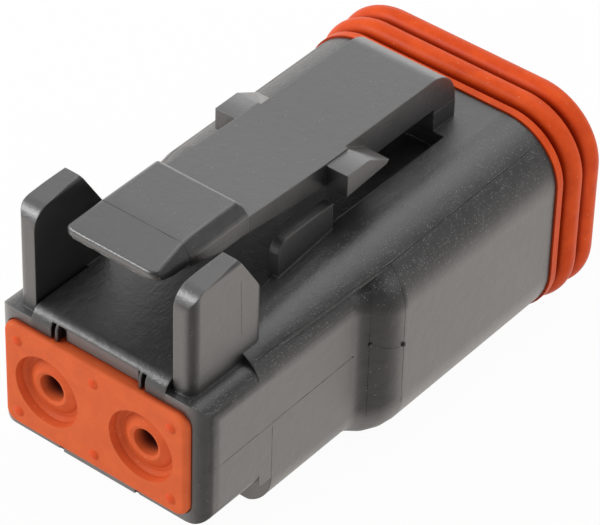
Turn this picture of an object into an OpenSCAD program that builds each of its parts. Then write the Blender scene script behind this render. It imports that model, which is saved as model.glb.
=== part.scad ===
// Sealed two-way plug: latched housing, rear wire seal, front ring seal,
// wedge lock and two crimp sockets with hoods.
// X is across the two contacts, Y runs from the wire end to the mating end, Z is up.
// Sizes are laid out from the contact axes (Z = 0) and the wire seal's rear face (Y = 0),
// then moved once so that the origin lies under the middle of the part.

/* [Contacts] */
// Distance between the two contact axes
pitch = 7.85; // [7.4:0.05:8.2]
// Radius of the mating pin
pin_r = 0.8; // [0.7:0.02:0.84]
// Depth of the socket bore
socket_depth = 7.2; // [6:0.2:9]
// Outside radius of the socket barrel
socket_r = 1.2; // [1.1:0.02:1.25]
// Length of the socket barrel ahead of its collar
socket_l = 12.4; // [11:0.2:12.6]
// Radius of the retention collar
collar_r = 1.75; // [1.65:0.02:1.8]
// Length of the retention collar
collar_l = 2.6; // [2:0.1:3]
// Outside radius of the crimp barrel
crimp_r = 1.3; // [1.15:0.02:1.35]
// Bore radius of the crimp barrel
crimp_bore_r = 0.9; // [0.7:0.02:0.95]
// Length of the crimp barrel behind the collar
crimp_l = 8.4; // [7:0.2:9]
// Depth of the crimp bore
crimp_depth = 6.4; // [5:0.2:6.8]
// Radius of the inspection hole in the crimp barrel
inspect_r = 0.4; // [0.25:0.05:0.5]
// Wall of the spring hood round each socket
hood_wall = 0.25; // [0.15:0.01:0.28]
// Length of the spring hood
hood_l = 8.6; // [7:0.2:10]

/* [Body sections] */
// Half width of the rear and middle body
body_hw = 8.7; // [8.5:0.05:9]
// Height of the deck above the contact axes
deck_z = 5.8; // [5.6:0.05:6]
// Half width of the deck plate at the rear face
deck_hw = 5.5; // [5.3:0.02:5.6]
// Height of the rear shoulders beside the deck
rear_top = 4.95; // [4.9:0.05:5.2]
// Depth of the rear body below the contact axes
rear_drop = 4.75; // [4.7:0.05:5]
// How far the rear body's middle strip stands out below
strip_proud = 0.12; // [0.06:0.02:0.3]
// Depth of the middle body below the contact axes
mid_drop = 8; // [7.6:0.05:8.2]
// Corner radius low down on the rear body
rear_low_r = 1.1; // [0.6:0.1:1.4]
// Corner radius of the rear shoulders
rear_high_r = 1.5; // [1:0.1:1.8]
// Corner radius high up on the middle body
mid_high_r = 2.5; // [2:0.1:3]
// Corner radius low down on the middle body
mid_low_r = 3.1; // [2:0.1:3.4]
// Radius of the upright corners at the rear face
rear_plan_r = 1.6; // [0.8:0.1:2]
// Radius that rolls the deck over into the rear face
deck_roll_r = 1; // [0.4:0.1:1.2]
// Half width of the strip between the slots in the rear rim
rim_in = 3; // [2.6:0.1:3.3]
// Width of each notch in the rear rim
notch_w = 0.34; // [0.25:0.01:0.4]
// Thickness of the thin fin between two notches
notch_fin = 0.2; // [0.15:0.01:0.25]
// Height of the rolled edge above the notches
rim_roll = 0.4; // [0.3:0.05:0.6]
// Depth of the sunk panel between the notches
panel_sunk = 0.45; // [0.2:0.05:0.55]
// Place where the middle body's shoulders start
ledge_y = 5.9; // [5.5:0.1:6.4]
// Place of the step under the body
foot_y = 7.1; // [6.8:0.1:7.6]
// Edge radius of the step under the body
foot_r = 0.4; // [0.2:0.05:0.8]

/* [Front body] */
// Half width of the front body at the seal
front_hw = 10.45; // [10.2:0.05:10.8]
// Height of the front body above the contact axes
front_top = 7.05; // [6.9:0.05:7.2]
// Depth of the front body below the contact axes
front_drop = 8.8; // [8.6:0.05:9.2]
// Corner radius high up on the front body
front_high_r = 4.3; // [3.8:0.1:4.6]
// Corner radius low down on the front body
front_low_r = 4.4; // [3.6:0.1:4.8]
// Place where the walls start to flare out
flare_y = 15.2; // [14.8:0.1:15.8]
// Length of the flare
flare_l = 3.4; // [3:0.1:3.8]
// Share of the flare's length that is hollow
flare_hollow = 0.34; // [0.25:0.01:0.5]
// Height of the shoulders' lower edge at the flare
parting_z = 5.85; // [5.4:0.05:6.2]
// Place where the front body ends against the ring seal
shoulder_y = 34.7; // [34.4:0.1:35.2]
// Half width of the channel under the latch lever
channel_hw = 4.4; // [4.3:0.05:4.6]
// Place where the shoulders start to rise to the front body
rise_y = 7.6; // [6.8:0.1:9]

/* [Nose] */
// Gap from the front body's outline in to the nose
nose_step = 1.5; // [1.3:0.05:1.7]
// Length of the nose ahead of the front body
nose_l = 5.8; // [5.6:0.1:6.4]
// Thickness of the wall ahead of the contacts
nose_wall = 1.4; // [1:0.1:1.8]
// Clearance round the pin at its entry
entry_clear = 0.3; // [0.2:0.05:0.5]
// Size of the lead-in chamfer at each pin entry
entry_lead = 0.5; // [0.2:0.05:0.6]

/* [Guard ears] */
// Distance from the middle to the inside of an ear
ear_in = 5.63; // [5.5:0.02:5.8]
// Thickness of an ear
ear_t = 1.55; // [1.3:0.05:1.7]
// Rear face of the ears
ear_y = 1.1; // [0.9:0.05:1.4]
// Length of an ear along the body
ear_l = 6.9; // [6.4:0.1:7.4]
// Round of the ear's rear top corner
ear_corner_r = 1.5; // [1:0.1:2]
// Height of the ear's crest at its front end
ear_top_z = 13.25; // [13.1:0.05:13.5]
// Fall of the crest towards the rear
ear_fall = 0.3; // [0.1:0.05:0.5]
// Height where the ear's front slope ends
ear_front_z = 9.3; // [9:0.1:10]
// Length of the ear's crest before its front slope
ear_crest_l = 4.4; // [4:0.1:4.8]
// Radius along the top of the ears
ear_r = 0.4; // [0.2:0.05:0.6]
// Radius of the ears' upright outer edges
ear_out_r = 0.8; // [0.4:0.05:1]

/* [Guide fins] */
// Distance from the middle to the outside of a fin
fin_out = 4.75; // [4.7:0.02:4.9]
// Thickness of a fin
fin_t = 0.75; // [0.6:0.02:0.8]
// Rear end of the fins
fin_y = 12.3; // [12:0.1:12.6]
// Length of a fin
fin_l = 5.5; // [5:0.1:5.6]
// Height of the fins' top edge
fin_top_z = 9; // [8.6:0.05:9.1]
// Corner radius at the rear of a fin
fin_r = 1; // [0.5:0.1:1.4]

/* [Latch lever] */
// Half width of the lever behind its tabs
lever_hw = 3.7; // [3.5:0.02:3.74]
// Half width of the lever ahead of its tabs
neck_hw = 3.46; // [3.2:0.02:3.48]
// Height of the lever's top over the thumb pad's front
lever_rear_z = 11.75; // [11.6:0.05:11.9]
// Height of the lever's top at its front end
lever_top_z = 11.25; // [11.1:0.05:11.4]
// Height of the lever's underside at its front end
lever_under_z = 8.8; // [8.7:0.05:9]
// Rear face of the leg that carries the lever
leg_y = 30; // [29.8:0.1:30.2]
// Front face of the leg that carries the lever
leg_front_y = 32.3; // [32.1:0.1:32.5]
// Round where the lever bends down into its leg
lever_bend_r = 2.6; // [2:0.1:2.8]
// Rear tip of the thumb pad
pad_tip_y = 1.7; // [1.5:0.1:2]
// Height of the thumb pad's tip
pad_tip_z = 12.6; // [12.4:0.05:12.7]
// Thickness of the thumb pad's tip
pad_tip_t = 0.6; // [0.5:0.05:0.7]
// Height of the pad's underside at its crease
pad_under_z = 11.5; // [11.4:0.05:11.6]
// Place where the arm leaves the pad's underside
knee_y = 7.8; // [7:0.1:8.4]
// Height of the arm's underside where it leaves the pad
knee_z = 10.8; // [10.7:0.05:10.9]
// Place of the arm's thin middle
waist_y = 14.9; // [14:0.1:15.6]
// Height of the underside at the arm's thin middle
waist_z = 9.95; // [9.9:0.05:10.05]
// Place where the arm's underside turns level
level_y = 24; // [23:0.2:26]
// Place of the pad's crease
pad_crease_y = 4.76; // [4.5:0.05:5]
// Front end of the thumb pad
pad_front_y = 10.35; // [10:0.05:10.6]
// Height of the thumb pad's top
pad_top_z = 13.1; // [12.9:0.05:13.15]
// Half width of the thumb pad
pad_hw = 3.9; // [3.8:0.02:4]
// Edge radius of the thumb pad
pad_r = 0.9; // [0.4:0.05:1]
// How far the pad's sides lean in
pad_slope = 0.7; // [0.4:0.05:0.9]
// Height of the pad's leaning sides
pad_slope_h = 0.9; // [0.6:0.05:1]
// Reach of each latch tab from the middle
tab_reach = 5.46; // [5.3:0.02:5.5]
// Rear catch face of the tabs
tab_y = 18.3; // [18.2:0.05:18.6]
// Length of the tabs' flat top
tab_flat_l = 2.2; // [2:0.1:2.6]
// Length of the tabs with their ramp
tab_l = 4.3; // [4:0.1:4.6]
// Height of the tabs at their tip
tab_tip_z = 10.1; // [10:0.05:10.3]
// Small bevel under the tabs' tip
tab_nose = 0.25; // [0.1:0.05:0.3]
// Height of the tabs' underside at the rear
tab_under_z = 9.6; // [9.5:0.05:9.7]
// Radius of the lever's pivot knuckle
knuckle_r = 1.05; // [0.9:0.05:1.1]
// Clearance round the pivot knuckle
knuckle_clear = 0.15; // [0.1:0.01:0.2]

/* [Wire seal] */
// Half width of the wire seal
grommet_hw = 7.55; // [7.4:0.02:7.7]
// Half height of the wire seal
grommet_hh = 4.15; // [4:0.05:4.2]
// Length of the wire seal
grommet_l = 9; // [8:0.1:9.4]
// Corner radius of the wire seal
grommet_r = 0.9; // [0.7:0.1:1.3]
// Round of the wire seal's outer edge
grommet_edge = 0.35; // [0.2:0.05:0.4]
// How far the wire seal stands out of the body
grommet_proud = 0.5; // [0.3:0.05:0.6]
// Rim radius of the dish round each wire hole
dish_r = 2.62; // [2.4:0.02:2.8]
// Depth of the dish at its wall
dish_depth = 0.8; // [0.6:0.05:0.9]
// Radius of each wire hole
wire_r = 0.6; // [0.5:0.01:0.64]
// Mouth radius of each wire hole
mouth_r = 1; // [0.85:0.05:1.2]
// Radius of the chambers between the sealing lips
chamber_r = 1.35; // [1.1:0.05:1.6]
// Radius of the small round bumps
bump_r = 0.42; // [0.3:0.02:0.5]
// Distance of the bumps from the wire seal's edges
bump_inset = 1.19; // [1.1:0.02:1.3]
// Height of the small round bumps
bump_h = 0.2; // [0.15:0.01:0.25]
// Depth of the dish's crown round the hole
crown_depth = 0.42; // [0.2:0.02:0.6]
// Place where the mouth has narrowed to the wire hole
mouth_l = 2; // [1.6:0.1:2.4]
// Gap left round the wire seal
grommet_clear = 0.06; // [0.03:0.01:0.1]

/* [Ring seal] */
// Wall of the ring seal's band
band_t = 0.95; // [0.8:0.05:1.1]
// Radius of the ring seal's outer ribs
rib_r = 0.8; // [0.7:0.02:0.85]
// How far the rib crests stand out past the front body
rib_reach = 0.55; // [0.4:0.05:0.65]
// First rib's distance from the front body
rib_y = 2; // [1.9:0.05:2.2]
// Distance between the two ribs
rib_pitch = 1.9; // [1.8:0.05:2.1]
// Thickness of the lip against the front body
lip_t = 0.6; // [0.4:0.05:0.8]
// How far the lip stands out past the front body
lip_reach = 0.15; // [0:0.05:0.3]
// Length of the ring seal
ring_l = 5; // [4.8:0.1:5.4]
// Gap between the ring seal and the nose
ring_clear = 0.06; // [0.03:0.01:0.1]

/* [Wedge lock] */
// Half width of the wedge's head
wedge_hw = 1.7; // [1.5:0.05:1.8]
// Half height of the wedge's head
wedge_hh = 4.4; // [4:0.1:4.6]
// Length of the wedge's head
wedge_head_l = 6; // [5:0.1:7]
// Outside half width across the wedge's two legs
leg_out = 1.12; // [1:0.02:1.14]
// Thickness of each wedge leg
wedge_leg_t = 0.72; // [0.6:0.02:0.8]
// Half height of the wedge's legs
wedge_leg_hh = 1.5; // [1.2:0.1:1.7]
// Length of the wedge's legs behind its head
wedge_leg_l = 15; // [13:0.2:16]
// Clearance round the wedge
wedge_clear = 0.12; // [0.08:0.01:0.15]

/* [Retention fingers] */
// Thickness of each finger
finger_t = 0.75; // [0.6:0.02:0.8]
// Half width of each finger
finger_hw = 1.4; // [1.2:0.1:1.6]
// Length of each finger
finger_l = 7; // [6:0.1:7.4]
// Hook reach at the finger's tip
hook = 0.5; // [0.4:0.02:0.55]
// Length of the finger's hook with its ramp
hook_l = 2; // [1.4:0.1:2.4]

/* [Hidden] */
$fn = 64;

half_pitch = pitch / 2;
mating_y = shoulder_y + nose_l;                  // mating face
contact_front_y = mating_y - nose_wall;          // contacts stop against the front wall
collar_front_y = contact_front_y - socket_l;
collar_rear_y = collar_front_y - collar_l;
crimp_rear_y = collar_rear_y - crimp_l;
hood_r = socket_r + 0.04 + hood_wall;
cavity_front_r = hood_r + 0.12;
cavity_rear_r = collar_r + 0.12;
pocket_floor_y = grommet_l;
rest_z = front_drop + rib_reach;                 // lowest rib crest
mid_y = (mating_y - bump_h) / 2;
nose_hw = front_hw - nose_step;
nose_top = front_top - nose_step;
nose_drop = front_drop - nose_step;
nose_high_r = front_high_r - nose_step;
nose_low_r = front_low_r - nose_step;
crest_y = flare_y + flare_l;                     // flare reaches the front body's full size
hinge_y = (leg_y + leg_front_y) / 2;
hinge_z = front_top + knuckle_clear + knuckle_r + 0.05;
cut = 0.5;                                       // overrun of cutting tools
plastic = "#2b2c2e";
silicone = "#d9552b";

// ---- general shapes ----

// moves the layout frame to the part's own origin
module placed() { translate([0, -mid_y, rest_z]) children(); }

// extrudes an X-Z outline along Y
module along_y(y0, y1) {
    translate([0, y1, 0]) rotate([90, 0, 0]) linear_extrude(y1 - y0) children();
}

// extrudes a Y-Z outline along X, centred
module across_x(width) {
    translate([-width / 2, 0, 0]) rotate([90, 0, 90]) linear_extrude(width) children();
}

// extrudes an X-Y outline upwards
module upright(z0, z1) { translate([0, 0, z0]) linear_extrude(z1 - z0) children(); }

// round bar or hole along Y
module rod_y(x, y0, y1, r) {
    translate([x, y0, 0]) rotate([-90, 0, 0]) cylinder(h = y1 - y0, r = r);
}

// rounded outline with its own radii high up and low down
module outline(hw, drop, top, low_r, high_r) {
    for (s = [-1, 1]) {
        translate([s * (hw - low_r), low_r - drop]) circle(low_r);
        translate([s * (hw - high_r), top - high_r]) circle(high_r);
    }
    translate([low_r - hw, -drop]) square([2 * (hw - low_r), drop]);
    translate([high_r - hw, 0]) square([2 * (hw - high_r), top]);
    translate([-hw, low_r - drop]) square([2 * hw, drop + top - low_r - high_r]);
}

// round bead of radius r whose centre line follows a rounded outline at a place along Y
module bead(y, hw, drop, top, low_r, high_r, r) {
    translate([0, y, 0]) for (s = [0, 1]) mirror([s, 0, 0]) {
        translate([hw - high_r, 0, top - high_r]) rotate([90, 0, 0])
            rotate_extrude(angle = 90) translate([high_r, 0]) circle(r);
        translate([hw - low_r, 0, low_r - drop]) rotate([90, 0, 0]) rotate([0, 0, -90])
            rotate_extrude(angle = 90) translate([low_r, 0]) circle(r);
        translate([0, 0, top]) rotate([0, 90, 0]) cylinder(h = hw - high_r, r = r);
        translate([0, 0, -drop]) rotate([0, 90, 0]) cylinder(h = hw - low_r, r = r);
        translate([hw, 0, low_r - drop]) cylinder(h = drop + top - low_r - high_r, r = r);
    }
}

// rectangle with equal round corners
module rounded(x0, y0, x1, y1, r) {
    for (x = [x0 + r, x1 - r], y = [y0 + r, y1 - r]) translate([x, y]) circle(r);
    translate([x0 + r, y0]) square([x1 - x0 - 2 * r, y1 - y0]);
    translate([x0, y0 + r]) square([x1 - x0, y1 - y0 - 2 * r]);
}

// ---- housing ----

// rear body: shoulders, and a deck plate between the ears with its rear edge rolled over
module rear_body() {
    rear_end = foot_y + foot_r;
    intersection() {
        along_y(grommet_proud, rear_end) outline(body_hw, rear_drop, rear_top, rear_low_r, rear_high_r);
        upright(-rear_drop, rear_top) rounded(-body_hw, grommet_proud, body_hw, rear_end + rear_plan_r, rear_plan_r);
    }
    translate([-rim_in, grommet_proud, -rear_drop - strip_proud])
        cube([2 * rim_in, foot_y + foot_r - grommet_proud, 1]);
    across_x(2 * deck_hw) {
        translate([grommet_proud, 0]) square([rear_end - grommet_proud, deck_z - deck_roll_r]);
        translate([grommet_proud + deck_roll_r, 0]) square([rear_end - grommet_proud - deck_roll_r, deck_z]);
        translate([grommet_proud + deck_roll_r, deck_z - deck_roll_r]) circle(deck_roll_r);
    }
}

// middle body: its shoulders start at the ledge, its lower half at the foot
module mid_body() {
    intersection() {
        along_y(ledge_y, crest_y) outline(body_hw, mid_drop, deck_z, mid_low_r, mid_high_r);
        across_x(2 * body_hw) {
            translate([ledge_y, -rear_drop]) square([crest_y - ledge_y, rear_drop + deck_z]);
            translate([foot_y + foot_r, -mid_drop]) square([crest_y - foot_y - foot_r, mid_drop]);
            translate([foot_y, foot_r - mid_drop]) square([foot_r, mid_drop - foot_r]);
            translate([foot_y + foot_r, foot_r - mid_drop]) circle(foot_r);
        }
    }
}

// S-shaped rise from (0, 0) to (length, 1) as points: a hollow arc, then a round arc
function rise_points(length, height, hollow) =
    let (turn = 2 * atan(height / length), r1 = hollow * length / sin(turn), r2 = (1 - hollow) * length / sin(turn))
    concat([for (a = [0, turn / 2]) [r1 * sin(a), r1 * (1 - cos(a)) / height]],
           [for (a = [turn, turn * 2 / 3, turn / 3, 0]) [length - r2 * sin(a), 1 - r2 * (1 - cos(a)) / height]]);

// outline part of the way (0 to 1) from the middle body to the front body
module between(share, low_z, high_z) {
    hw = body_hw + share * (front_hw - body_hw);
    intersection() {
        outline(hw, mid_drop + share * (front_drop - mid_drop), deck_z + share * (front_top - deck_z),
                mid_low_r + share * (front_low_r - mid_low_r), mid_high_r + share * (front_high_r - mid_high_r),
                $fn = 96);
        translate([-hw, low_z]) square([2 * hw, high_z - low_z]);
    }
}

// front body: the flare rises to the full outline
module front_body() {
    thin = 0.01;
    points = rise_points(flare_l, front_hw - body_hw, flare_hollow);
    for (i = [0 : len(points) - 2]) hull() {
        along_y(flare_y + points[i][0], flare_y + points[i][0] + thin)
            between(points[i][1], -front_drop, parting_z);
        along_y(flare_y + points[i + 1][0], flare_y + points[i + 1][0] + thin)
            between(points[i + 1][1], -front_drop, parting_z);
    }
    along_y(crest_y, shoulder_y) outline(front_hw, front_drop, front_top, front_low_r, front_high_r);
}

// shoulders that rise from the middle body to the front body
module rising_shoulders() {
    thin = 0.02;
    hull() {
        along_y(rise_y, rise_y + thin) between(0, rear_top, front_top);
        along_y(crest_y, crest_y + thin) between(1, parting_z, front_top);
    }
}

// side outline of one guard ear
module ear_side() {
    base_z = rear_top - 1;
    rear_z = ear_top_z - ear_fall;
    corner = [for (a = [0 : 10 : 90])
        [ear_y + ear_corner_r * (1 - cos(a)), rear_z - ear_corner_r * (1 - sin(a))]];
    polygon(concat([[ear_y, base_z]], corner,
                   [[ear_y + ear_crest_l, ear_top_z], [ear_y + ear_l, ear_front_z], [ear_y + ear_l, base_z]]));
}

// plan of one guard ear: softer edges on its outer side
module ear_plan() {
    for (y = [ear_y + ear_out_r, ear_y + ear_l - ear_out_r])
        translate([ear_t / 2 - ear_out_r, y]) circle(ear_out_r);
    translate([ear_t / 2 - ear_out_r, ear_y + ear_out_r]) square([ear_out_r, ear_l - 2 * ear_out_r]);
    translate([-ear_t / 2, ear_y]) square([ear_t - ear_out_r, ear_l]);
}

// guard ear, its upright edges and its top edges rounded
module ear() {
    base_z = rear_top - 1;
    translate([ear_in + ear_t / 2, 0, 0]) intersection() {
        across_x(ear_t) ear_side();
        upright(base_z, ear_top_z) ear_plan();
        along_y(ear_y, ear_y + ear_l) rounded(-ear_t / 2, base_z - ear_r, ear_t / 2, ear_top_z, ear_r);
    }
}

// guide fin beside the lever
module fin() {
    translate([fin_out - fin_t / 2, 0, 0]) across_x(fin_t) union() {
        translate([fin_y, deck_z - 1]) square([fin_l, fin_top_z - fin_r - deck_z + 1]);
        translate([fin_y + fin_r, deck_z - 1]) square([fin_l - fin_r, fin_top_z - deck_z + 1]);
        translate([fin_y + fin_r, fin_top_z - fin_r]) circle(fin_r);
    }
}

// stub on the front body that cradles the lever's knuckle
module leg_stub() {
    difference() {
        across_x(2 * neck_hw) translate([leg_y, front_top - 1]) square([leg_front_y - leg_y, hinge_z - front_top + 1]);
        translate([-neck_hw - cut, hinge_y, hinge_z]) rotate([0, 90, 0])
            cylinder(h = 2 * neck_hw + 2 * cut, r = knuckle_r + knuckle_clear);
    }
}

// all contact cavities, stepped, with their pin entries
module cavities() {
    for (s = [-1, 1]) {
        rod_y(s * half_pitch, pocket_floor_y - cut, collar_front_y, cavity_rear_r);
        rod_y(s * half_pitch, collar_front_y - cut, contact_front_y, cavity_front_r);
        rod_y(s * half_pitch, contact_front_y - cut, mating_y + cut, pin_r + entry_clear);
        translate([s * half_pitch, mating_y - entry_lead, 0]) rotate([-90, 0, 0])
            cylinder(h = entry_lead + 0.01, r1 = pin_r + entry_clear, r2 = pin_r + entry_clear + entry_lead);
    }
}

// slot that takes the wedge and lets the fingers bend
module wedge_slot() {
    leg_end_y = mating_y - wedge_head_l - wedge_leg_l;
    across = leg_out + wedge_clear;
    translate([-wedge_hw - wedge_clear, mating_y - wedge_head_l, -wedge_hh - wedge_clear])
        cube([2 * (wedge_hw + wedge_clear), wedge_head_l + cut, 2 * (wedge_hh + wedge_clear)]);
    translate([-across, leg_end_y - 0.5, -wedge_leg_hh - wedge_clear])
        cube([2 * across, wedge_leg_l + 1, 2 * (wedge_leg_hh + wedge_clear)]);
}

// moulded finger that holds the contact's collar from behind
module finger(s) {
    in_x = leg_out + wedge_clear;
    translate([0, 0, -finger_hw]) linear_extrude(2 * finger_hw) polygon([
        [s * in_x, collar_rear_y - finger_l], [s * (in_x + finger_t), collar_rear_y - finger_l],
        [s * (in_x + finger_t), collar_rear_y - hook_l], [s * (in_x + finger_t + hook), collar_rear_y - hook_l / 3],
        [s * (in_x + finger_t + hook), collar_rear_y], [s * in_x, collar_rear_y]]);
}

// notches in the rear rim, each with a thin fin left in it, and the sunk panel between the top ones
module rim_slots() {
    deep = 0.7;
    top_z = deck_z - rim_roll;
    for (s = [-1, 1]) {
        for (x = [rim_in, rim_in + notch_w + notch_fin])
            translate([s > 0 ? x : -x - notch_w, grommet_proud - cut, grommet_hh])
                cube([notch_w, cut + deep, top_z - grommet_hh]);
        translate([s > 0 ? rim_in : -rim_in - notch_w, grommet_proud - cut, -rear_drop - strip_proud - cut])
            cube([notch_w, cut + deep, rear_drop + strip_proud - grommet_hh + cut]);
    }
    translate([-rim_in, grommet_proud - cut, grommet_hh])
        cube([2 * rim_in, cut + panel_sunk, top_z - grommet_hh]);
}

module housing() {
    color(plastic) placed() {
        difference() {
            union() {
                rear_body();
                mid_body();
                difference() {
                    union() {
                        front_body();
                        rising_shoulders();
                    }
                    translate([-channel_hw, rise_y - 1, deck_z])
                        cube([2 * channel_hw, leg_y - rise_y + 1, front_top]);
                }
                along_y(shoulder_y - 1, mating_y) outline(nose_hw, nose_drop, nose_top, nose_low_r, nose_high_r);
                for (s = [0, 1]) mirror([s, 0, 0]) {
                    ear();
                    fin();
                }
                leg_stub();
            }
            along_y(grommet_proud - cut, pocket_floor_y)
                rounded(-grommet_hw - grommet_clear, -grommet_hh - grommet_clear,
                        grommet_hw + grommet_clear, grommet_hh + grommet_clear, grommet_r + grommet_clear);
            cavities();
            wedge_slot();
            rim_slots();
        }
        for (s = [-1, 1]) finger(s);
    }
}

// ---- latch lever ----

// side outline of the arm, from the pad's crease to the leg
module arm_side() {
    bend = [for (i = [0 : 12]) let (a = 90 * i / 12)
        [leg_front_y - lever_bend_r * (1 - cos(a)), lever_top_z - lever_bend_r * (1 - sin(a))]];
    polygon(concat([[pad_crease_y, pad_under_z], [knee_y, knee_z], [waist_y, waist_z], [tab_y, tab_under_z],
                    [level_y, lever_under_z], [leg_y, lever_under_z], [leg_y, hinge_z], [leg_front_y, hinge_z]],
                   bend,
                   [[tab_y, lever_top_z + 0.1], [pad_front_y, lever_rear_z], [pad_crease_y, lever_rear_z]]));
}

// side outline of the thumb pad
module pad_side() {
    polygon([[pad_tip_y, pad_tip_z - pad_tip_t], [pad_tip_y, pad_tip_z], [pad_crease_y, pad_top_z - 0.05],
             [pad_crease_y + 1, pad_top_z], [pad_front_y - 0.4, pad_top_z], [pad_front_y, pad_top_z - 0.4],
             [pad_front_y, knee_z], [knee_y, knee_z], [pad_crease_y, pad_under_z]]);
}

module thumb_pad() {
    low_z = knee_z;
    edge_z = pad_top_z - pad_slope_h;
    intersection() {
        across_x(2 * pad_hw) pad_side();
        along_y(pad_tip_y, pad_front_y) polygon([
            [-pad_hw, low_z], [pad_hw, low_z], [pad_hw, edge_z], [pad_hw - pad_slope, pad_top_z],
            [pad_slope - pad_hw, pad_top_z], [-pad_hw, edge_z]]);
        upright(low_z, pad_top_z) rounded(-pad_hw, pad_tip_y, pad_hw, pad_front_y + 2 * pad_r, pad_r);
    }
}

// pair of latch tabs: upright catch face behind, ramp ahead
module tabs() {
    across_x(2 * tab_reach) polygon([
        [tab_y, tab_under_z], [tab_y, lever_top_z], [tab_y + tab_flat_l, lever_top_z],
        [tab_y + tab_l, tab_tip_z], [tab_y + tab_l - tab_nose, tab_tip_z - tab_nose]]);
}

module latch_lever() {
    color(plastic) placed() {
        difference() {
            union() {
                intersection() {
                    across_x(2 * lever_hw) arm_side();
                    upright(front_top, lever_rear_z) union() {
                        translate([-lever_hw, pad_crease_y]) square([2 * lever_hw, tab_y + tab_flat_l - pad_crease_y]);
                        translate([-neck_hw, tab_y]) square([2 * neck_hw, leg_front_y - tab_y]);
                    }
                }
                thumb_pad();
                tabs();
            }
            translate([-neck_hw - cut, leg_y - cut, hinge_z - knuckle_r])
                cube([2 * (neck_hw + cut), leg_front_y - leg_y + 2 * cut, knuckle_r + knuckle_clear]);
        }
        translate([-neck_hw, hinge_y, hinge_z]) rotate([0, 90, 0]) cylinder(h = 2 * neck_hw, r = knuckle_r);
    }
}

// ---- wire seal ----

// one wire passage: dish with a crowned floor, funnel mouth, three sealing lips
module wire_passage() {
    lip_l = grommet_l / 6;
    wall_slope = 0.1;
    corner = 0.25;
    rotate([-90, 0, 0]) rotate_extrude() polygon([
        [0, -cut], [dish_r, -cut], [dish_r, 0], [dish_r - wall_slope, dish_depth - corner],
        [dish_r - wall_slope - corner, dish_depth], [dish_r - wall_slope - 2 * corner, dish_depth],
        [mouth_r + corner, crown_depth], [mouth_r, crown_depth + wall_slope], [wire_r, mouth_l], [0, mouth_l]]);
    rod_y(0, mouth_l - cut, grommet_l + cut, wire_r);
    for (i = [1 : 2]) rod_y(0, lip_l * (2 * i), lip_l * (2 * i + 1), chamber_r);
}

// low round bump on the wire seal's face
module bump(x, z) {
    ball_r = (bump_r * bump_r + bump_h * bump_h) / (2 * bump_h);
    translate([x, ball_r - bump_h, z]) sphere(ball_r);
}

module wire_seal() {
    in_hw = grommet_hw - grommet_edge;
    in_hh = grommet_hh - grommet_edge;
    in_r = grommet_r - grommet_edge;
    color(silicone) placed() {
        difference() {
            union() {
                along_y(grommet_edge, grommet_l)
                    rounded(-grommet_hw, -grommet_hh, grommet_hw, grommet_hh, grommet_r);
                along_y(0, grommet_edge) rounded(-in_hw, -in_hh, in_hw, in_hh, in_r);
                bead(grommet_edge, in_hw, in_hh, in_hh, in_r, in_r, grommet_edge);
            }
            for (s = [-1, 1]) translate([s * half_pitch, 0, 0]) wire_passage();
        }
        for (x = [-1, 0, 1], z = [-1, 1]) bump(x * (grommet_hw - bump_inset), z * (grommet_hh - bump_inset));
    }
}

// ---- ring seal ----

// one rib of the ring seal
module rib(y) {
    inset = rib_r - rib_reach;
    bead(y, front_hw - inset, front_drop - inset, front_top - inset, front_low_r, front_high_r, rib_r);
}

module ring_seal() {
    grow = ring_clear;
    color(silicone) placed() difference() {
        union() {
            along_y(shoulder_y, shoulder_y + ring_l)
                outline(nose_hw + band_t, nose_drop + band_t, nose_top + band_t, nose_low_r + band_t, nose_high_r + band_t);
            along_y(shoulder_y, shoulder_y + lip_t)
                outline(front_hw + lip_reach, front_drop + lip_reach, front_top + lip_reach,
                        front_low_r + lip_reach, front_high_r + lip_reach);
            for (i = [0, 1]) rib(shoulder_y + rib_y + i * rib_pitch);
        }
        along_y(shoulder_y - cut, shoulder_y + ring_l + cut)
            outline(nose_hw + grow, nose_drop + grow, nose_top + grow, nose_low_r + grow, nose_high_r + grow);
    }
}

// ---- wedge lock ----

module wedge_lock() {
    head_y = mating_y - wedge_head_l + 0.02;
    color(silicone) placed() {
        along_y(head_y, mating_y) rounded(-wedge_hw, -wedge_hh, wedge_hw, wedge_hh, 0.3);
        for (s = [-1, 1])
            translate([s > 0 ? leg_out - wedge_leg_t : -leg_out, head_y - wedge_leg_l, -wedge_leg_hh])
                cube([wedge_leg_t, wedge_leg_l + 1, 2 * wedge_leg_hh]);
    }
}

// ---- contacts ----

// crimp socket: bored front barrel, collar, crimp barrel with its inspection hole
module socket_contact(s) {
    color("#b9a27c") placed() translate([s * half_pitch, 0, 0]) difference() {
        union() {
            rod_y(0, collar_rear_y - 0.5, contact_front_y, socket_r);
            rod_y(0, collar_rear_y, collar_front_y, collar_r);
            rod_y(0, crimp_rear_y, collar_rear_y, crimp_r);
        }
        rod_y(0, contact_front_y - socket_depth, contact_front_y + cut, pin_r);
        rod_y(0, crimp_rear_y - cut, crimp_rear_y + crimp_depth, crimp_bore_r);
        translate([0, crimp_rear_y + crimp_depth - 1, 0]) cylinder(h = crimp_r + cut, r = inspect_r);
    }
}

// thin steel hood round the socket's springs
module hood(s) {
    color("#c9cacc") placed() translate([s * half_pitch, 0, 0]) difference() {
        rod_y(0, contact_front_y - hood_l, contact_front_y, hood_r);
        rod_y(0, contact_front_y - hood_l - cut, contact_front_y + cut, hood_r - hood_wall);
    }
}

module left_socket() { socket_contact(-1); }
module right_socket() { socket_contact(1); }
module left_hood() { hood(-1); }
module right_hood() { hood(1); }

housing();
latch_lever();
wire_seal();
ring_seal();
wedge_lock();
left_socket();
right_socket();
left_hood();
right_hood();
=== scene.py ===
"""Looks of a sealed two-way connector plug: charcoal moulding, silicone seals, latch lever."""

from math import cos, pi, radians, sin

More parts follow.
